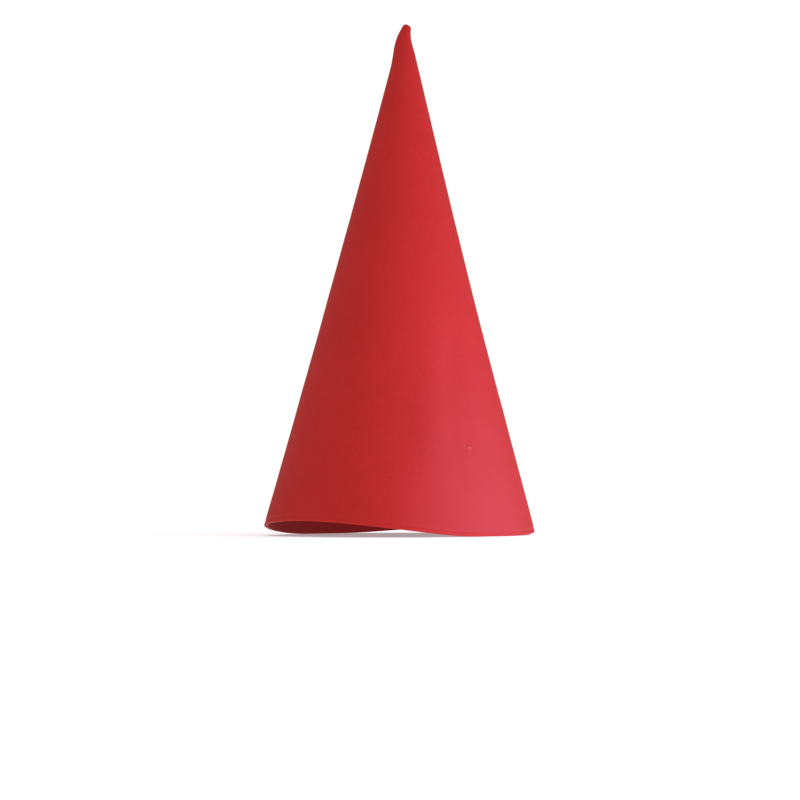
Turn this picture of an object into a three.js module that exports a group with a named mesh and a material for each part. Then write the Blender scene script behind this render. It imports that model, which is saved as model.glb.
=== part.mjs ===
// Tall pointed gnome hat, rolled from one sheet of foam and glued edge to edge up the back.
// The front is at -Y, the left side, as worn, is at +X and the tip points up +Z. Everything is in
// millimetres. The hem's two sides rest on the plane Z = 0, and it lifts at the front and back.
import * as THREE from 'three';

// The cone: reaches are taken at floor level, from the line under the tip to the foam's outside
const hatHeight = 420;
const sideReach = 95;
const frontReach = 122;
const backReach = 108;
const foamThickness = 3;

// How square the oval of the hem is: 2 is an ellipse, and more has flatter sides
const hemSquareness = 2.35;

// The hem lifts in an arch at the front and a lower one at the back
const frontArchRise = 12;
const backArchRise = 6.5;
const archHalfSpan = 78;

// The blunt end of the tip curls over, and its cut end slants down that way
const tipWidth = 5;
const tipRounding = 1;
const tipCurl = 2.6;
const tipCurlLength = 20;
const tipCurlToward = 129;
const tipCutDrop = 1.5;
const hollowTipWidth = 2;

// The glued joint up the back shows as a shallow groove
const seamWidth = 2.4;
const seamDepth = 0.7;

// How far the sheet stands in or out at the soft forms below
const softFormDepth = 1.4;

// Soft forms pressed into the sheet, a row each. height is the share of the hat's height where
// its middle is, and turn how many degrees round from the front, towards the left side. It
// fades out at tall, a share of the height, and at wide, in degrees. out is a share of
// softFormDepth, and outwards where it is positive.
const softForms = [
  { name: 'ridge left of the front', height: 0.20, turn: 55, tall: 0.17, wide: 16, out: 0.9 },
  { name: 'hollow past the ridge', height: 0.29, turn: 75, tall: 0.17, wide: 16, out: -0.7 },
  { name: 'sag of the left back', height: 0.48, turn: 128, tall: 0.48, wide: 50, out: -0.8 },
  { name: 'flat of the right side', height: 0.34, turn: 265, tall: 0.30, wide: 35, out: -0.6 },
  { name: 'swelling before the tip', height: 0.971, turn: 309, tall: 0.064, wide: 85, out: 1.4 },
  { name: 'pinch behind the tip', height: 0.974, turn: 129, tall: 0.030, wide: 60, out: -0.4 },
];

// How finely the sheet is divided
const columnsRound = 60;
const outerRows = 30;
const innerRows = 18;
const crowdingToTip = 1.6;

const degree = Math.PI / 180;
const lerp = THREE.MathUtils.lerp;
const clamp = THREE.MathUtils.clamp;

// Thickness of the sloping wall measured level, and the height where the hollow ends
const tipRadius = tipWidth / 2;
const tipEndRadius = tipRadius - tipRounding;
const wallAcross = foamThickness * Math.hypot(1, (sideReach - tipRadius) / hatHeight);
const hollowTipRadius = hollowTipWidth / 2;
const solidTipShare = (wallAcross + hollowTipRadius - tipRadius) / (sideReach - tipRadius);
const hollowHeight = hatHeight * (1 - solidTipShare);

// The tip stands over the middle of the hem's length from front to back, apart from its curl
const frontAtHem = lerp(frontReach, tipRadius, frontArchRise / hatHeight);
const backAtHem = lerp(backReach, tipRadius, backArchRise / hatHeight);
const tipFromMiddle = (frontAtHem - backAtHem) / 2;

// Half a wave: 1 in the middle, falling smoothly to 0 at one unit away
function softStep(distance) {
  return 0.5 + 0.5 * Math.cos(Math.PI * clamp(Math.abs(distance), 0, 1));
}

// Degrees between two turns, the short way round
function turnBetween(turnA, turnB) {
  return Math.abs(THREE.MathUtils.euclideanModulo(turnA - turnB + 180, 360) - 180);
}

function hemLift(turn) {
  const front = frontArchRise * softStep(turnBetween(turn, 0) / archHalfSpan);
  const back = backArchRise * softStep(turnBetween(turn, 180) / archHalfSpan);
  return front + back;
}

// How far the foam's outside is pushed out at one turn and height
function softForm(turn, height) {
  let out = 0;
  for (const form of softForms) {
    const up = (height / hatHeight - form.height) / form.tall;
    const round = turnBetween(turn, form.turn) / form.wide;
    out += softFormDepth * form.out * softStep(up) * softStep(round);
  }
  return out;
}

// Depth of the glued joint's groove, which narrows and fades with the cone
function seamGroove(turn, height) {
  const halfTurn = seamWidth / 2 / backReach / degree;
  const across = clamp(1 - turnBetween(turn, 180) / halfTurn, 0, 1);
  return seamDepth * across * (1 - height / hatHeight);
}

// Distance from the hat's line to its outside, or to a surface set in from it
function reachAt(turn, height, inset) {
  const share = height / hatHeight;
  const lengthways = Math.cos(turn * degree) > 0 ? frontReach : backReach;
  const side = lerp(sideReach, tipRadius, share) - inset;
  const length = lerp(lengthways, tipRadius, share) - inset;
  const power = lerp(hemSquareness, 2, share);
  const across = Math.abs(Math.sin(turn * degree) / side) ** power;
  const along = Math.abs(Math.cos(turn * degree) / length) ** power;
  return (across + along) ** (-1 / power) + softForm(turn, height);
}

// Curls the end of the tip over and slants its cut end
function curlTip(point) {
  const toward = new THREE.Vector3(Math.sin(tipCurlToward * degree), -Math.cos(tipCurlToward * degree), 0);
  const curl = clamp(1 - (hatHeight - point.z) / tipCurlLength, 0, 1) ** 2;
  const slant = Math.max(0, (point.dot(toward) / tipEndRadius + 1) / 2);
  point.z -= tipCutDrop * slant * curl;
  return point.addScaledVector(toward, tipCurl * curl);
}

function sheetPoint(turn, height, reach) {
  const point = new THREE.Vector3(reach * Math.sin(turn * degree), -reach * Math.cos(turn * degree), height);
  curlTip(point);
  point.y += tipFromMiddle;
  return point;
}

// The columns' turns: even steps, with the groove's two edges and its bottom at the back
function columnTurns() {
  const turns = [];
  const halfTurn = seamWidth / 2 / backReach / degree;
  for (let column = 0; column < columnsRound; column += 1) {
    const turn = (360 * column) / columnsRound;
    if (turnBetween(turn, 180) > halfTurn) {
      turns.push(turn);
    }
  }
  turns.push(180 - halfTurn, 180, 180 + halfTurn);
  return turns.sort((a, b) => a - b);
}

// One level row of the sheet's outside, climb going from 0 at the hem to 1 at the tip
function outerRow(turns, climb) {
  return turns.map((turn) => {
    const height = lerp(hemLift(turn), hatHeight - tipRounding, climb);
    return sheetPoint(turn, height, reachAt(turn, height, 0) - seamGroove(turn, height));
  });
}

function innerRow(turns, climb) {
  return turns.map((turn) => {
    const height = lerp(hemLift(turn), hollowHeight, climb);
    return sheetPoint(turn, height, reachAt(turn, height, wallAcross));
  });
}

// A row's climb, the rows standing closer together towards the tip
function rowClimb(row, rowCount) {
  return 1 - (1 - row / rowCount) ** crowdingToTip;
}

// Joins rows of points into one closed skin that starts and ends at a single point
function closedSkin(firstPoint, rows, lastPoint) {
  const points = [firstPoint, ...rows.flat(), lastPoint];
  const count = rows[0].length;
  const last = points.length - 1;
  const index = (row, column) => 1 + row * count + (column % count);
  const faces = [];
  for (let column = 0; column < count; column += 1) {
    faces.push(0, index(0, column), index(0, column + 1));
    for (let row = 0; row + 1 < rows.length; row += 1) {
      faces.push(index(row, column), index(row + 1, column), index(row + 1, column + 1));
      faces.push(index(row, column), index(row + 1, column + 1), index(row, column + 1));
    }
    faces.push(index(rows.length - 1, column), last, index(rows.length - 1, column + 1));
  }
  const geometry = new THREE.BufferGeometry().setFromPoints(points);
  geometry.setIndex(faces);
  geometry.computeVertexNormals();
  return geometry;
}

// The foam sheet: down the outside from the tip, across the cut hem and up the hollow inside
function makeFoamCone() {
  const turns = columnTurns();
  const rows = [];
  rows.push(turns.map((turn) => sheetPoint(turn, hatHeight, tipEndRadius)));
  for (let row = outerRows; row >= 0; row -= 1) {
    rows.push(outerRow(turns, rowClimb(row, outerRows)));
  }
  for (let row = 0; row <= innerRows; row += 1) {
    rows.push(innerRow(turns, rowClimb(row, innerRows)));
  }
  const tipEnd = sheetPoint(0, hatHeight, 0);
  const hollowEnd = sheetPoint(0, hollowHeight + hollowTipRadius, 0);
  return closedSkin(tipEnd, rows, hollowEnd);
}

const redFoam = new THREE.MeshStandardMaterial({ color: 0xc0292f, roughness: 0.85, metalness: 0 });

const foamCone = new THREE.Mesh(makeFoamCone(), redFoam);
foamCone.name = 'foam_cone';

const gnomeHat = new THREE.Group();
gnomeHat.name = 'gnome_hat';
gnomeHat.add(foamCone);

export default gnomeHat;
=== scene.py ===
import math

import bmesh
import bpy
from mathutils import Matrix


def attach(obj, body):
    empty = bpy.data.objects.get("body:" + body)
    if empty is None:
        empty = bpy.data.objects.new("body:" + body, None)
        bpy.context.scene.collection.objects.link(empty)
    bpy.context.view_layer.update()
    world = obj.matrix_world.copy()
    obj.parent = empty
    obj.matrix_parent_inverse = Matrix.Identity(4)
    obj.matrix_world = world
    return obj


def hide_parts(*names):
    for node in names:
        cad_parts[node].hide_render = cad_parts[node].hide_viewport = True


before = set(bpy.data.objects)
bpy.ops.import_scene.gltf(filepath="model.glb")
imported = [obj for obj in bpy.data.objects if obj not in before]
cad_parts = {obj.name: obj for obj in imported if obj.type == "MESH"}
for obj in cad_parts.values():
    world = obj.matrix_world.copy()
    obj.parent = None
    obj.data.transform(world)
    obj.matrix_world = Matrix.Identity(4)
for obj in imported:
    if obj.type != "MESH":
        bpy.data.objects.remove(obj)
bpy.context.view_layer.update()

# Cameras and lamps look straight down until they are raised, and this raises them to level
LEVEL = 90.0

# Camera: in front of the hat's left side and close to the floor, looking slightly up
CAMERA_TURN = 41.8
CAMERA_AWAY = 1.21
CAMERA_HEIGHT = 0.022
CAMERA_LOOKS_UP = 4.1
CAMERA_LENS = 67.5
SENSOR_WIDTH = 36.0

# Light: a low, wide soft panel close by on the camera's right, in a white room. The room is
# dimmer in reflections than it is as light, which keeps the foam's edges free of a pale veil.
PANEL_FROM_CAMERA = 71.0
PANEL_AWAY = 0.60
PANEL_HEIGHT = 0.08
PANEL_WIDTH = 1.00
PANEL_TALL = 0.34
PANEL_POWER = 3.9
PANEL_COLOUR = (0.90, 1.0, 1.6)
ROOM_COLOUR = (1.0, 0.985, 0.955, 1.0)
ROOM_LIGHT = 0.75
ROOM_REFLECTED = 0.2
ROOM_SEEN = 1.05

# The floor: a wide pale disc that glows faintly, as a lit table does
FLOOR_RADIUS = 40.0
FLOOR_SIDES = 128
FLOOR_COLOUR = (0.929, 0.943, 0.972, 1.0)
FLOOR_GLOW_COLOUR = (1.0, 1.0, 1.0, 1.0)
FLOOR_GLOW = 0.33
FLOOR_SPECULAR = 0.0
FLOOR_ROUGHNESS = 0.75
FLOOR_ROUGHNESS_VARIES = 0.1
FLOOR_CLOUDS_PER_METRE = 3.0

# The cone: reaches are taken at floor level, from the line under the tip to the outside.
# A squareness of 2 is an ellipse, and more has flatter sides.
HAT_HEIGHT = 0.420
SIDE_REACH = 0.095
FRONT_REACH = 0.122
BACK_REACH = 0.108
FOAM_THICKNESS = 0.003
HEM_SQUARENESS = 2.35
TIP_SQUARENESS = 2.0

# The hem: how far its front and back rise, how round its die-cut edge is, and the pinch that
# the blade left just above it
FRONT_TURN = 0.0
BACK_TURN = 180.0
FRONT_ARCH_RISE = 0.012
BACK_ARCH_RISE = 0.0065
ARCH_HALF_SPAN = 78.0
HEM_OUTER_ROUNDING = 0.0009
HEM_INNER_ROUNDING = 0.0006
PINCH_HEIGHT = 0.0034
PINCH_HALF_HEIGHT = 0.0022
PINCH_DEPTH = 0.00026
PINCH_LIP_HEIGHT = 0.0014

# The tip: a small slanted cut end on a stub that curls over
TIP_WIDTH = 0.005
TIP_ROUNDING = 0.001
TIP_CURL = 0.0026
TIP_CURL_LENGTH = 0.020
TIP_CURL_GROWTH = 2.0
TIP_CURL_TOWARD = 129.0
TIP_CUT_DROP = 0.0015
HOLLOW_TIP_WIDTH = 0.002

# The glued seam up the back. Its groove's depth varies about a middle share of SEAM_DEPTH, and
# reads the noise so far along from where the waver does that the two differ.
SEAM_TURN = BACK_TURN
SEAM_WIDTH = 0.0026
SEAM_DEPTH = 0.0007
SEAM_DEPTH_MIDDLE = 0.9
SEAM_DEPTH_VARIES = 0.3
SEAM_DEPTH_ALONG = 1.0
SEAM_CROWN = 0.00022
SEAM_CROWN_WIDTH = 0.011
SEAM_WAVER = 0.0005
SEAM_WAVER_LENGTH = 0.030
GLUE_WIDTH = 0.0012

# Broad forms pressed into the foam. height: middle, as a share of the hat's height.
# turn: middle, in degrees. tall: half height, as a share. wide: half width, in degrees.
# out: how far it stands out, or in where negative.
SOFT_FORMS = (
    {'height': 0.200, 'turn': 55.0, 'tall': 0.170, 'wide': 16.0, 'out': 0.00126},
    {'height': 0.290, 'turn': 75.0, 'tall': 0.170, 'wide': 16.0, 'out': -0.00098},
    {'height': 0.480, 'turn': 128.0, 'tall': 0.480, 'wide': 50.0, 'out': -0.00112},
    {'height': 0.340, 'turn': 265.0, 'tall': 0.300, 'wide': 35.0, 'out': -0.00084},
    {'height': 0.971, 'turn': 309.0, 'tall': 0.064, 'wide': 85.0, 'out': 0.00196},
    {'height': 0.974, 'turn': 129.0, 'tall': 0.030, 'wide': 60.0, 'out': -0.00056},
)

# The sheet's own slight waviness
RIPPLE_LENGTH = 0.045
RIPPLE_DEPTH = 0.0005

# A small nick on the left side: a short upright cut, and the scuffed lip lifted beside its top
NICK_TURN = 79.0
NICK_HEIGHT = 0.0668
NICK_CUT_ASIDE = 0.0040
NICK_CUT_WIDTH = 0.0026
NICK_CUT_HALF_HEIGHT = 0.0044
NICK_CUT_DEPTH = 0.00036
NICK_LIP_ABOVE = 0.0012
NICK_LIP_HALF_WIDTH = 0.0046
NICK_LIP_HALF_HEIGHT = 0.0018
NICK_LIP_OUT = 0.00040

# The foam's colours: deep and light in its mottling, rosy in its blotches, a painted shade for
# its pores, its cut faces and the nick's slit, and where it is glued or scuffed
FOAM_DEEP = (0.430, 0.0096, 0.0086, 1.0)
FOAM_LIGHT = (0.525, 0.0130, 0.0119, 1.0)
FOAM_ROSY = (0.478, 0.0144, 0.0156, 1.0)
FOAM_PORE_AND_CUT_SHADE = (0.325, 0.0086, 0.0095, 1.0)
FOAM_GLUED = (0.290, 0.0096, 0.0106, 1.0)
FOAM_NICK_SHADE = (0.355, 0.0210, 0.0190, 1.0)
FOAM_SCUFFED = (0.440, 0.0550, 0.0390, 1.0)

# Clouds of noise in the foam: how many go to the metre, and how fine and rough each is.
# They run from 0 to 1 about this middle.
CLOUD_MIDDLE = 0.5
CLOUDS = {
    'broad': {'per_metre': 16.0, 'detail': 2.0, 'roughness': 0.5},
    'blotch': {'per_metre': 190.0, 'detail': 1.0, 'roughness': 0.5},
    'mottle': {'per_metre': 460.0, 'detail': 2.0, 'roughness': 0.6},
    'grain': {'per_metre': 1700.0, 'detail': 1.0, 'roughness': 0.5},
    'shine': {'per_metre': 130.0, 'detail': 1.0, 'roughness': 0.5},
}

# The foam's tone, from 0 where it is deep to 1 where it is light, how far the clouds move it,
# and how far a painted highlight lightens the lip under the pinch
TONE_MIDDLE = 0.5
BROAD_TONE = 0.8
MOTTLE_TONE = 1.0
GRAIN_TONE = 0.6
LIP_HIGHLIGHT_TONE = 0.35

# How far each mark takes the foam to its colour: the blotches, glue and scuffed lip to their
# own, the pores, cut edges and nick's slit to a painted shade
ROSY_CONTRAST = 2.2
ROSY_SHARE = 0.8
PORE_SHADE_SHARE = 0.25
CUT_SHADE_SHARE = 0.55
GLUED_SHARE = 0.75
NICK_SHADE_SHARE = 0.7
SCUFFED_SHARE = 0.6

# The foam's gloss, and the smoother patches of the glue, which lie where the shine cloud
# passes from none to full
FOAM_SPECULAR = 0.225
FOAM_ROUGHNESS = 0.53
FOAM_ROUGHNESS_VARIES = 0.16
SHINE_NONE = 0.45
SHINE_FULL = 0.60
SHINE_SMOOTHER = 0.30

# The fine relief of the foam's skin. A pore is deepest up to its floor and ends at its rim,
# both as shares of the way to the next. The reliefs are shares of RELIEF_DEPTH.
PORES_PER_METRE = 330.0
PORE_FLOOR = 0.03
PORE_RIM = 0.09
CELLS_PER_METRE = 1500.0
CELL_SMOOTHNESS = 0.6
CELL_RELIEF = 0.40
MOTTLE_RELIEF = 0.40
PORE_RELIEF = 0.7
BROAD_RELIEF = 1.0
CUT_RELIEF = 1.2
RELIEF_STRENGTH = 0.6
RELIEF_DEPTH = 0.0003

# How closely the foam is divided. Columns go round it and crowd at the nick and the seam:
# half_span is half the share of the columns that take part, core the part of it where they
# are closest, and a closeness of 1 would make them touch.
COLUMNS_ROUND = 300
CROWDING_CORE = 0.6
CROWDINGS = (
    {'turn': NICK_TURN, 'half_span': 0.078, 'closeness': 0.865},
    {'turn': SEAM_TURN, 'half_span': 0.033, 'closeness': 0.900},
)

# Rows run from the tip down the outside, round the hem and up the inside, stretch by stretch.
# The outside's rows go in spans, each to the share of the climb where it ends, and the
# inside's stand closer together towards the top.
OUTSIDE_SPANS = ((26, 0.935), (104, 0.173), (28, 0.144), (34, 0.022), (18, 0.0))
INSIDE_CROWDING = 1.35
RUN_ROWS = {
    'tip end': 3,
    'tip rounding': 4,
    'outside': sum(rows for rows, _ in OUTSIDE_SPANS),
    'hem rounding': 5,
    'hem face': 5,
    'hem inside': 3,
    'inside': 64,
    'hollow tip': 2,
}

# Points closer than this are joined, and the painted shade on the cut edge fades out over this
# share of the way up the inside. The finish reads the marks, which are kept on the foam's
# points.
JOIN_WITHIN = 0.000005
CUT_EDGE_FADE = 0.02
FOAM_MARKS = ('cut_edge', 'glue_line', 'nick_cut', 'nick_lip', 'lip_highlight')

# One degree and a quarter turn, in radians
DEGREE = math.pi / 180
QUARTER_TURN = math.pi / 2

# Worked out from the sizes above: the wall measured level through its slope, the height where
# the hollow has narrowed to its blunt top, and how far behind the hem's middle the tip stands
TIP_RADIUS = TIP_WIDTH / 2
WALL_ACROSS = FOAM_THICKNESS * math.hypot(1, (SIDE_REACH - TIP_RADIUS) / HAT_HEIGHT)
SOLID_TIP_SHARE = (WALL_ACROSS + HOLLOW_TIP_WIDTH / 2 - TIP_RADIUS) / (SIDE_REACH - TIP_RADIUS)
HOLLOW_HEIGHT = HAT_HEIGHT * (1 - SOLID_TIP_SHARE)
FRONT_AT_HEM = FRONT_REACH + (TIP_RADIUS - FRONT_REACH) * FRONT_ARCH_RISE / HAT_HEIGHT
BACK_AT_HEM = BACK_REACH + (TIP_RADIUS - BACK_REACH) * BACK_ARCH_RISE / HAT_HEIGHT
TIP_FROM_MIDDLE = (FRONT_AT_HEM - BACK_AT_HEM) / 2

# The sizes that the rolled sheet's tree takes as inputs
SHEET_SIZES = {
    'Hat Height': HAT_HEIGHT,
    'Side Reach': SIDE_REACH,
    'Front Reach': FRONT_REACH,
    'Back Reach': BACK_REACH,
    'Wall Across': WALL_ACROSS,
    'Front Arch Rise': FRONT_ARCH_RISE,
    'Back Arch Rise': BACK_ARCH_RISE,
    'Tip Radius': TIP_RADIUS,
    'Tip Curl': TIP_CURL,
}


class Measure:
    """A length, share or turn that varies over the foam, worked out by Math nodes."""

    def __init__(self, tree, socket):
        self.tree = tree
        self.socket = socket

    def work(self, operation, *terms):
        node = self.tree.nodes.new('ShaderNodeMath')
        node.operation = operation
        for place, term in enumerate(terms):
            feed(self.tree, term, node.inputs[place])
        return Measure(self.tree, node.outputs[0])

    def __add__(self, other):
        return self.work('ADD', self, other)

    def __radd__(self, other):
        return self.work('ADD', other, self)

    def __sub__(self, other):
        return self.work('SUBTRACT', self, other)

    def __rsub__(self, other):
        return self.work('SUBTRACT', other, self)

    def __mul__(self, other):
        return self.work('MULTIPLY', self, other)

    def __rmul__(self, other):
        return self.work('MULTIPLY', other, self)

    def __truediv__(self, other):
        return self.work('DIVIDE', self, other)

    def __rtruediv__(self, other):
        return self.work('DIVIDE', other, self)

    def __pow__(self, other):
        return self.work('POWER', self, other)

    def cosine(self):
        return self.work('COSINE', self)

    def sine(self):
        return self.work('SINE', self)

    def size(self):
        return self.work('ABSOLUTE', self)

    def at_least(self, least):
        return self.work('MAXIMUM', self, least)

    def at_most(self, most):
        return self.work('MINIMUM', self, most)

    def within(self, least, most):
        return self.at_least(least).at_most(most)

    def above(self, limit):
        """1 where it is over the limit, otherwise 0."""
        return self.work('GREATER_THAN', self, limit)

    def turned_from(self, middle):
        """Degrees from a middle turn, the short way round, with its sign."""
        return self.work('WRAP', self - middle, 180.0, -180.0)

    def ramp(self, start, end):
        """0 before start, 1 after end, and even between them."""
        return ((self - start) / (end - start)).within(0.0, 1.0)

    def both_ways(self):
        """What runs from 0 to 1, made to run from -1 to 1."""
        return self * 2.0 - 1.0

    def swell(self):
        """1 where it is 0, falling softly to 0 where it is 1 or -1."""
        return (self.size().at_most(1.0) * math.pi).cosine() * 0.5 + 0.5

    def peak(self):
        """1 where it is 0, falling evenly to 0 where it is 1 or -1."""
        return 1.0 - self.size().at_most(1.0)


def feed(tree, term, socket):
    """Put a Measure, a socket or a plain number into a node's input."""
    if isinstance(term, Measure):
        tree.links.new(term.socket, socket)
    elif isinstance(term, bpy.types.NodeSocket):
        tree.links.new(term, socket)
    else:
        socket.default_value = term


def blend(start, end, share):
    return start + (end - start) * share


def add_node(tree, kind, **settings):
    node = tree.nodes.new(kind)
    for name, value in settings.items():
        setattr(node, name, value)
    return node


def set_inputs(node, values):
    """Set a node's inputs, by name, to plain values."""
    for name, value in values.items():
        node.inputs[name].default_value = value


def add_object(name, data):
    """Put a mesh, lamp or camera in the scene."""
    thing = bpy.data.objects.new(name, data)
    bpy.context.scene.collection.objects.link(thing)
    return thing


def crowded_turns(across):
    """The turn of each column: even, but closer together at the nick and the seam."""
    whole = (1 + CROWDING_CORE) / 2
    lost = sum(2 * whole * c['half_span'] * c['closeness'] for c in CROWDINGS)
    share = across
    passed = 0.0
    for crowding in CROWDINGS:
        half_saved = whole * crowding['half_span'] * crowding['closeness']
        middle = crowding['turn'] / 360.0 * (1 - lost) + passed + half_saved
        passed += 2 * half_saved
        step = (across - middle) / crowding['half_span']
        core = step.within(-CROWDING_CORE, CROWDING_CORE)
        edge = (step - core).within(CROWDING_CORE - 1, 1 - CROWDING_CORE)
        edge = edge / (1 - CROWDING_CORE)
        eased = (edge + (edge * math.pi).sine() / math.pi) * ((1 - CROWDING_CORE) / 2)
        reach = crowding['half_span'] * crowding['closeness']
        share = share - (core + eased + whole) * reach
    return share / (1 - lost) * 360.0


def first_row(stretch):
    """The row where one stretch of the run starts."""
    names = list(RUN_ROWS)
    return sum(RUN_ROWS[name] for name in names[:names.index(stretch)])


def way_through(stretch, row):
    """How far through one stretch of the run a row is, from 0 to 1."""
    start = first_row(stretch)
    return row.ramp(start, start + RUN_ROWS[stretch])


def hem_lift(turn, sizes):
    """How high the cut edge is above the floor."""
    front = (turn.turned_from(FRONT_TURN) / ARCH_HALF_SPAN).swell() * sizes['Front Arch Rise']
    back = (turn.turned_from(BACK_TURN) / ARCH_HALF_SPAN).swell() * sizes['Back Arch Rise']
    return front + back


def outside_climb(row):
    """1 at the tip's rounding and 0 at the hem's, down the outside's spans of rows."""
    climb = 1.0
    span_start = first_row('outside')
    span_top = 1.0
    for span_rows, span_foot in OUTSIDE_SPANS:
        drop = span_top - span_foot
        climb = climb - row.ramp(span_start, span_start + span_rows) * drop
        span_start += span_rows
        span_top = span_foot
    return climb


def sheet_height(row, lift, sizes):
    """How high the sheet is above the floor, before its tip curls."""
    tip_turn = way_through('tip rounding', row) * QUARTER_TURN
    tip_sink = tip_turn.cosine() * -TIP_ROUNDING + TIP_ROUNDING
    outside_foot = lift + HEM_OUTER_ROUNDING
    outside_top = sizes['Hat Height'] - TIP_ROUNDING
    outside = blend(outside_foot, outside_top, outside_climb(row)) + (TIP_ROUNDING - tip_sink)
    hem_sink = (way_through('hem rounding', row) * QUARTER_TURN).sine() * HEM_OUTER_ROUNDING

    hem_turn = way_through('hem inside', row) * QUARTER_TURN
    hem_rise = hem_turn.cosine() * -HEM_INNER_ROUNDING + HEM_INNER_ROUNDING
    inside_climb = 1.0 - (1.0 - way_through('inside', row)) ** INSIDE_CROWDING
    inside = blend(lift + hem_rise, HOLLOW_HEIGHT, inside_climb)

    # Half a row past the step, the last row of the cut face still counts as outside
    is_inside = row.above(first_row('hem inside') + 0.5)
    height = blend(outside - hem_sink, inside, is_inside)
    return height + way_through('hollow tip', row) * (HOLLOW_TIP_WIDTH / 2)


def sheet_inset(row, sizes):
    """How far the sheet is set in from the outside, up to its whole wall on the inside."""
    face_span = sizes['Wall Across'] - (HEM_OUTER_ROUNDING + HEM_INNER_ROUNDING)
    outer_turn = way_through('hem rounding', row) * QUARTER_TURN
    inset = (1.0 - outer_turn.cosine()) * HEM_OUTER_ROUNDING
    inset = inset + way_through('hem face', row) * face_span
    inner_turn = way_through('hem inside', row) * QUARTER_TURN
    return inset + inner_turn.sine() * HEM_INNER_ROUNDING


def oval_reach(angle, height_share, inset, sizes):
    """From the line under the tip to the sheet: an oval that turns round towards the tip."""
    across = angle.sine()
    along = angle.cosine()
    lengthways = blend(sizes['Back Reach'], sizes['Front Reach'], along.above(0.0))
    side = blend(sizes['Side Reach'], sizes['Tip Radius'], height_share) - inset
    length = blend(lengthways, sizes['Tip Radius'], height_share) - inset
    power = blend(HEM_SQUARENESS, TIP_SQUARENESS, height_share)
    oval = (across.size() / side) ** power + (along.size() / length) ** power
    return oval ** (-1.0 / power)


def soft_form(form, turn, height_share):
    """How far one broad form stands out."""
    rise = ((height_share - form['height']) / form['tall']).swell()
    spread = (turn.turned_from(form['turn']) / form['wide']).swell()
    return rise * spread * form['out']


def unit_noise(tree, dimensions):
    """Smooth noise whose ups and downs are about one unit apart."""
    noise = add_node(tree, 'ShaderNodeTexNoise', noise_dimensions=dimensions)
    set_inputs(noise, {'Scale': 1.0, 'Detail': 1.0})
    return noise


def uneven(tree, along, length):
    """Smooth chance ups and downs from -1 to 1 along a line, a length apart."""
    noise = unit_noise(tree, '1D')
    feed(tree, along / length, noise.inputs['W'])
    return Measure(tree, noise.outputs[0]).both_ways()


def ripple(tree, angle, height):
    """The sheet's slight natural waviness, from -1 to 1."""
    spot = add_node(tree, 'ShaderNodeCombineXYZ')
    reach_in_ripples = SIDE_REACH / RIPPLE_LENGTH
    feed(tree, angle.sine() * reach_in_ripples, spot.inputs['X'])
    feed(tree, angle.cosine() * reach_in_ripples, spot.inputs['Y'])
    feed(tree, height / RIPPLE_LENGTH, spot.inputs['Z'])
    noise = unit_noise(tree, '3D')
    tree.links.new(spot.outputs[0], noise.inputs['Vector'])
    return Measure(tree, noise.outputs[0]).both_ways()


def seam_form(tree, off_seam, height, height_share):
    """How far the seam stands out: a groove between two soft crowns, fainter up the hat."""
    groove = (off_seam / (SEAM_WIDTH / 2)).peak()
    crown = (off_seam / SEAM_CROWN_WIDTH).swell()
    depth = uneven(tree, height + SEAM_DEPTH_ALONG, SEAM_WAVER_LENGTH) * SEAM_DEPTH_VARIES
    depth = depth + SEAM_DEPTH_MIDDLE
    return (crown * SEAM_CROWN - groove * depth * SEAM_DEPTH) * (1.0 - height_share)


def nick_marks(turn, height, reach, on_outside):
    """The nick's cut and its lip, each from 0 to 1."""
    across = turn.turned_from(NICK_TURN) * DEGREE * reach
    up = height - NICK_HEIGHT
    cut_across = ((across + NICK_CUT_ASIDE) / (NICK_CUT_WIDTH / 2)).peak()
    cut_up = (up / NICK_CUT_HALF_HEIGHT).swell()
    lip_across = (across / NICK_LIP_HALF_WIDTH).swell()
    lip_up = ((up - NICK_LIP_ABOVE) / NICK_LIP_HALF_HEIGHT).swell()
    return cut_across * cut_up * on_outside, lip_across * lip_up * on_outside


def close_ends(reach, row):
    """Round the tip's edge, and draw both ends of the run in to the line under the tip."""
    tip_end = way_through('tip end', row)
    hollow_open = 1.0 - way_through('hollow tip', row)
    tip_shrink = 1.0 - way_through('tip rounding', row)
    return reach * tip_end * hollow_open - tip_shrink * tip_end * TIP_ROUNDING * hollow_open


def curled_point(tree, reach, angle, height, sizes):
    """The sheet's place, with the end of the tip curled over and its cut end slanted."""
    toward_x = math.sin(math.radians(TIP_CURL_TOWARD))
    toward_y = -math.cos(math.radians(TIP_CURL_TOWARD))
    flat_x = reach * angle.sine()
    flat_y = reach * angle.cosine() * -1.0
    below_top = sizes['Hat Height'] - height
    curl = (1.0 - below_top / TIP_CURL_LENGTH).within(0.0, 1.0) ** TIP_CURL_GROWTH
    along = flat_x * toward_x + flat_y * toward_y
    slant = ((along / (sizes['Tip Radius'] - TIP_ROUNDING) + 1.0) * 0.5).at_least(0.0)
    bent = curl * sizes['Tip Curl']
    point = add_node(tree, 'ShaderNodeCombineXYZ')
    feed(tree, flat_x + bent * toward_x, point.inputs['X'])
    feed(tree, flat_y + bent * toward_y + TIP_FROM_MIDDLE, point.inputs['Y'])
    feed(tree, height - slant * curl * TIP_CUT_DROP, point.inputs['Z'])
    return point.outputs[0]


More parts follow.
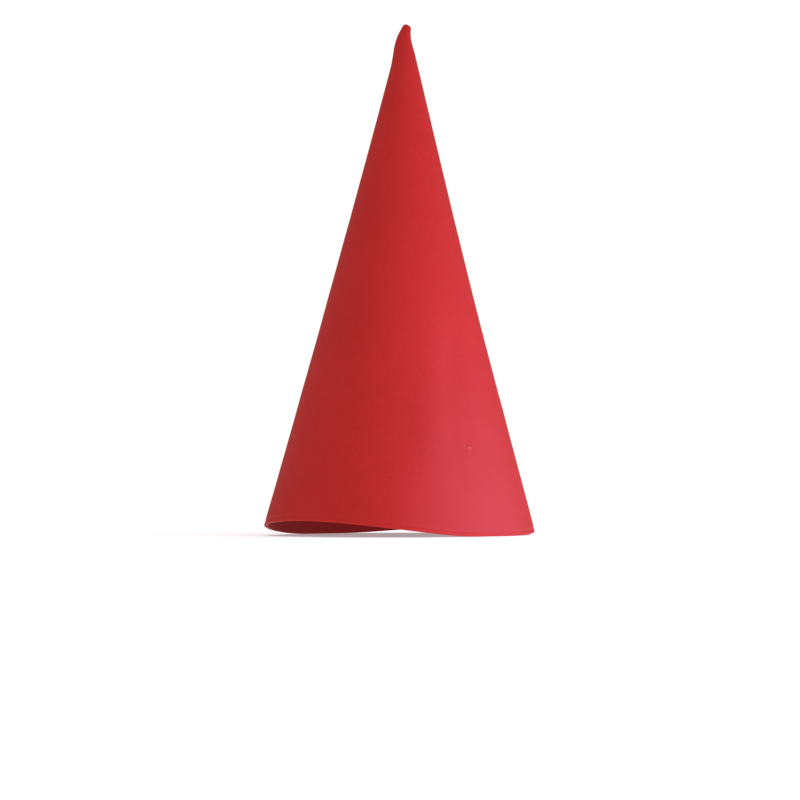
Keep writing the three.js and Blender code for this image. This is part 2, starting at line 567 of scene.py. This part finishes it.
def roll_sheet(tree, across, row, sizes):
    """Where each point of the flat grid goes on the hat, and the marks that its finish needs."""
    turn = crowded_turns(across)
    angle = turn * DEGREE
    lift = hem_lift(turn, sizes)
    height = sheet_height(row, lift, sizes)
    height_share = height / sizes['Hat Height']
    hem_face = way_through('hem face', row)
    tip_edge = way_through('tip rounding', row)
    on_outside = tip_edge * (1.0 - hem_face)

    reach = oval_reach(angle, height_share, sheet_inset(row, sizes), sizes)
    reach = reach + sum(soft_form(form, turn, height_share) for form in SOFT_FORMS)
    reach = reach + ripple(tree, angle, height) * (1.0 - height_share) * RIPPLE_DEPTH

    off_seam = turn.turned_from(SEAM_TURN) * DEGREE * reach
    off_seam = off_seam + uneven(tree, height, SEAM_WAVER_LENGTH) * SEAM_WAVER
    glue_line = (off_seam / (GLUE_WIDTH / 2)).peak()
    reach = reach + seam_form(tree, off_seam, height, height_share) * on_outside

    over_hem = height - lift
    pinch = ((over_hem - PINCH_HEIGHT) / PINCH_HALF_HEIGHT).swell() * on_outside
    # The lip between the hem and the pinch, which the finish lightens as a painted highlight
    lip_highlight_mask = ((over_hem - PINCH_LIP_HEIGHT) / PINCH_LIP_HEIGHT).swell() * on_outside
    reach = reach - pinch * PINCH_DEPTH

    nick_cut, nick_lip = nick_marks(turn, height, reach, on_outside)
    reach = reach + nick_lip * NICK_LIP_OUT - nick_cut * NICK_CUT_DEPTH

    point = curled_point(tree, close_ends(reach, row), angle, height, sizes)
    face_fade = 1.0 - way_through('inside', row).ramp(0.0, CUT_EDGE_FADE)
    # These marks carry painted shade on the cut faces and in the nick's slit, and a painted
    # highlight along the lip under the pinch
    marks = {
        'cut_edge': hem_face * face_fade + (1.0 - tip_edge),
        'glue_line': glue_line,
        'nick_cut': nick_cut,
        'nick_lip': nick_lip,
        'lip_highlight': lip_highlight_mask,
    }
    return point, marks


def lay_flat_grid(tree):
    """A flat grid, with how far across it each point is, from 0 to 1, and in which row."""
    rows = sum(RUN_ROWS.values())
    grid = add_node(tree, 'GeometryNodeMeshGrid')
    set_inputs(grid, {'Size X': 1.0, 'Size Y': 1.0,
                      'Vertices X': COLUMNS_ROUND + 1, 'Vertices Y': rows + 1})
    place = add_node(tree, 'ShaderNodeSeparateXYZ')
    tree.links.new(add_node(tree, 'GeometryNodeInputPosition').outputs[0], place.inputs[0])
    across = Measure(tree, place.outputs['X']) + 0.5
    row = (Measure(tree, place.outputs['Y']) + 0.5) * rows
    return grid.outputs['Mesh'], across, row


def make_foam_tree(material):
    """A tree that rolls a flat grid into the hat, its hem and its tip."""
    tree = bpy.data.node_groups.new('rolled foam sheet', 'GeometryNodeTree')
    tree.is_modifier = True
    tree.interface.new_socket('Geometry', in_out='OUTPUT', socket_type='NodeSocketGeometry')
    for name, value in SHEET_SIZES.items():
        socket = tree.interface.new_socket(name, in_out='INPUT', socket_type='NodeSocketFloat')
        socket.default_value = value
    entry = add_node(tree, 'NodeGroupInput')
    sizes = {name: Measure(tree, entry.outputs[name]) for name in SHEET_SIZES}

    geometry, across, row = lay_flat_grid(tree)
    point, marks = roll_sheet(tree, across, row, sizes)
    for name, mark in marks.items():
        store = add_node(tree, 'GeometryNodeStoreNamedAttribute', data_type='FLOAT',
                         domain='POINT')
        set_inputs(store, {'Name': name})
        tree.links.new(geometry, store.inputs['Geometry'])
        feed(tree, mark, store.inputs['Value'])
        geometry = store.outputs['Geometry']

    roll = add_node(tree, 'GeometryNodeSetPosition')
    tree.links.new(geometry, roll.inputs['Geometry'])
    tree.links.new(point, roll.inputs['Position'])
    join = add_node(tree, 'GeometryNodeMergeByDistance')
    set_inputs(join, {'Distance': JOIN_WITHIN})
    flip = add_node(tree, 'GeometryNodeFlipFaces')
    smooth = add_node(tree, 'GeometryNodeSetShadeSmooth')
    realize = add_node(tree, 'GeometryNodeRealizeInstances')
    finish = add_node(tree, 'GeometryNodeSetMaterial')
    set_inputs(finish, {'Material': material})
    leave = add_node(tree, 'NodeGroupOutput')
    chain = (roll, join, flip, smooth, realize, finish, leave)
    for before, after in zip(chain, chain[1:]):
        tree.links.new(before.outputs[0], after.inputs[0])
    return tree


def roll_foam(name, material):
    """The finished hat as one plain mesh."""
    tree = make_foam_tree(material)
    carrier = add_object('foam roll pattern', bpy.data.meshes.new('foam roll pattern'))
    modifier = carrier.modifiers.new('roll', 'NODES')
    modifier.node_group = tree
    for item in tree.interface.items_tree:
        if item.in_out == 'INPUT':
            modifier[item.identifier] = SHEET_SIZES[item.name]
    evaluated = carrier.evaluated_get(bpy.context.evaluated_depsgraph_get())
    mesh = bpy.data.meshes.new_from_object(evaluated)
    mesh.name = name
    # The grid left an empty slot before the foam's own
    mesh.materials.pop(index=0)
    carrier.modifiers.remove(modifier)
    bpy.data.objects.remove(carrier)
    return add_object(name, mesh)


def socket_called(sockets, identifier):
    return next(socket for socket in sockets if socket.identifier == identifier)


def mix_colours(tree, share, first, second):
    node = add_node(tree, 'ShaderNodeMix', data_type='RGBA')
    feed(tree, share, socket_called(node.inputs, 'Factor_Float'))
    feed(tree, first, socket_called(node.inputs, 'A_Color'))
    feed(tree, second, socket_called(node.inputs, 'B_Color'))
    return socket_called(node.outputs, 'Result_Color')


def foam_colour(tree, clouds, marks, pore):
    """Mottled red with rosy blotches, a dark glue line and a scuffed lip, painted shade in the
    pores, on the cut edges and in the nick's slit, and a painted highlight along the lip under
    the pinch.
    """
    tone = (clouds['broad'] - CLOUD_MIDDLE) * BROAD_TONE
    tone = tone + (clouds['mottle'] - CLOUD_MIDDLE) * MOTTLE_TONE
    tone = tone + (clouds['grain'] - CLOUD_MIDDLE) * GRAIN_TONE + TONE_MIDDLE
    # Painted highlight: the lip under the pinch is lightened
    tone = tone + marks['lip_highlight'] * LIP_HIGHLIGHT_TONE
    colour = mix_colours(tree, tone.within(0.0, 1.0), FOAM_DEEP, FOAM_LIGHT)
    rosy = ((clouds['blotch'] - CLOUD_MIDDLE) * ROSY_CONTRAST).within(0.0, 1.0)
    # The pores, the cut edges and the nick's slit are darkened as painted shade
    layers = (
        (rosy * ROSY_SHARE, FOAM_ROSY),
        (pore * PORE_SHADE_SHARE, FOAM_PORE_AND_CUT_SHADE),
        (marks['cut_edge'] * CUT_SHADE_SHARE, FOAM_PORE_AND_CUT_SHADE),
        (marks['glue_line'] * GLUED_SHARE, FOAM_GLUED),
        (marks['nick_cut'] * NICK_SHADE_SHARE, FOAM_NICK_SHADE),
        (marks['nick_lip'] * SCUFFED_SHARE, FOAM_SCUFFED),
    )
    for share, layer_colour in layers:
        colour = mix_colours(tree, share, colour, layer_colour)
    return colour


def foam_relief(tree, place, clouds, marks, pore):
    """Fine cells and pores, broad unevenness and a grainy cut edge."""
    cells = add_node(tree, 'ShaderNodeTexVoronoi', feature='SMOOTH_F1')
    set_inputs(cells, {'Scale': CELLS_PER_METRE, 'Smoothness': CELL_SMOOTHNESS})
    tree.links.new(place, cells.inputs['Vector'])
    relief = Measure(tree, cells.outputs['Distance']) * CELL_RELIEF
    relief = relief + clouds['mottle'] * MOTTLE_RELIEF - pore * PORE_RELIEF
    relief = relief + (clouds['broad'] - CLOUD_MIDDLE) * BROAD_RELIEF
    return relief + marks['cut_edge'] * clouds['grain'] * CUT_RELIEF


def make_foam_finish():
    """Matte red foam: faint mottling, fine cells, and a cut edge darkened with painted shade."""
    material = bpy.data.materials.new('red foam')
    material.use_nodes = True
    tree = material.node_tree
    shader = tree.nodes['Principled BSDF']
    place = add_node(tree, 'ShaderNodeTexCoord').outputs['Object']

    clouds = {}
    for name, kind in CLOUDS.items():
        noise = add_node(tree, 'ShaderNodeTexNoise')
        set_inputs(noise, {'Scale': kind['per_metre'], 'Detail': kind['detail'],
                           'Roughness': kind['roughness']})
        tree.links.new(place, noise.inputs['Vector'])
        clouds[name] = Measure(tree, noise.outputs['Fac'])

    marks = {}
    for name in FOAM_MARKS:
        mark = add_node(tree, 'ShaderNodeAttribute', attribute_name=name)
        marks[name] = Measure(tree, mark.outputs['Fac'])

    pores = add_node(tree, 'ShaderNodeTexVoronoi')
    set_inputs(pores, {'Scale': PORES_PER_METRE})
    tree.links.new(place, pores.inputs['Vector'])
    pore = 1.0 - Measure(tree, pores.outputs['Distance']).ramp(PORE_FLOOR, PORE_RIM)

    tree.links.new(foam_colour(tree, clouds, marks, pore), shader.inputs['Base Color'])
    glue_shine = marks['glue_line'] * clouds['shine'].ramp(SHINE_NONE, SHINE_FULL)
    roughness = (clouds['mottle'] - CLOUD_MIDDLE) * FOAM_ROUGHNESS_VARIES + FOAM_ROUGHNESS
    feed(tree, roughness - glue_shine * SHINE_SMOOTHER, shader.inputs['Roughness'])
    set_inputs(shader, {'Specular IOR Level': FOAM_SPECULAR})

    bump = add_node(tree, 'ShaderNodeBump')
    set_inputs(bump, {'Strength': RELIEF_STRENGTH, 'Distance': RELIEF_DEPTH})
    feed(tree, foam_relief(tree, place, clouds, marks, pore), bump.inputs['Height'])
    tree.links.new(bump.outputs[0], shader.inputs['Normal'])
    return material


def make_floor_finish():
    material = bpy.data.materials.new('pale studio floor')
    material.use_nodes = True
    tree = material.node_tree
    shader = tree.nodes['Principled BSDF']
    noise = add_node(tree, 'ShaderNodeTexNoise')
    set_inputs(noise, {'Scale': FLOOR_CLOUDS_PER_METRE})
    place = add_node(tree, 'ShaderNodeTexCoord').outputs['Object']
    tree.links.new(place, noise.inputs['Vector'])
    roughness = Measure(tree, noise.outputs['Fac']) * FLOOR_ROUGHNESS_VARIES + FLOOR_ROUGHNESS
    feed(tree, roughness, shader.inputs['Roughness'])
    set_inputs(shader, {'Base Color': FLOOR_COLOUR, 'Specular IOR Level': FLOOR_SPECULAR,
                        'Emission Color': FLOOR_GLOW_COLOUR, 'Emission Strength': FLOOR_GLOW})
    return material


def make_floor():
    """A wide plain disc."""
    mesh = bpy.data.meshes.new('studio floor')
    shape = bmesh.new()
    bmesh.ops.create_circle(shape, cap_ends=True, segments=FLOOR_SIDES, radius=FLOOR_RADIUS)
    shape.to_mesh(mesh)
    shape.free()
    mesh.materials.append(make_floor_finish())
    floor = add_object('studio_floor', mesh)


def round_the_hat(turn, away, height):
    """The place at a turn round the hat, so far away and so high."""
    return away * math.sin(math.radians(turn)), -away * math.cos(math.radians(turn)), height


def place_camera():
    data = bpy.data.cameras.new('camera')
    data.lens = CAMERA_LENS
    data.sensor_width = SENSOR_WIDTH
    camera = add_object('camera', data)
    camera.location = round_the_hat(CAMERA_TURN, CAMERA_AWAY, CAMERA_HEIGHT)
    raised = math.radians(LEVEL + CAMERA_LOOKS_UP)
    camera.rotation_euler = (raised, 0, math.radians(CAMERA_TURN))
    bpy.context.scene.camera = camera


def light_studio():
    """A soft panel on the right, in a white room."""
    data = bpy.data.lights.new('soft panel on the right', 'AREA')
    data.energy = PANEL_POWER
    data.shape = 'RECTANGLE'
    data.size = PANEL_WIDTH
    data.size_y = PANEL_TALL
    data.color = PANEL_COLOUR
    panel = add_object('soft panel on the right', data)
    turn = CAMERA_TURN + PANEL_FROM_CAMERA
    panel.location = round_the_hat(turn, PANEL_AWAY, PANEL_HEIGHT)
    panel.rotation_euler = (math.radians(LEVEL), 0, math.radians(turn))

    world = bpy.data.worlds.new('white room')
    world.use_nodes = True
    tree = world.node_tree
    background = tree.nodes['Background']
    set_inputs(background, {'Color': ROOM_COLOUR})
    ray = add_node(tree, 'ShaderNodeLightPath')
    seen = Measure(tree, ray.outputs['Is Camera Ray'])
    reflected = Measure(tree, ray.outputs['Is Glossy Ray'])
    strength = blend(blend(ROOM_LIGHT, ROOM_REFLECTED, reflected), ROOM_SEEN, seen)
    feed(tree, strength, background.inputs['Strength'])
    bpy.context.scene.world = world
    bpy.context.scene.view_settings.view_transform = 'Standard'


place_camera()
hat = roll_foam('rolled_foam_hat', make_foam_finish())
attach(hat, 'root')
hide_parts('foam_cone')
make_floor()
light_studio()
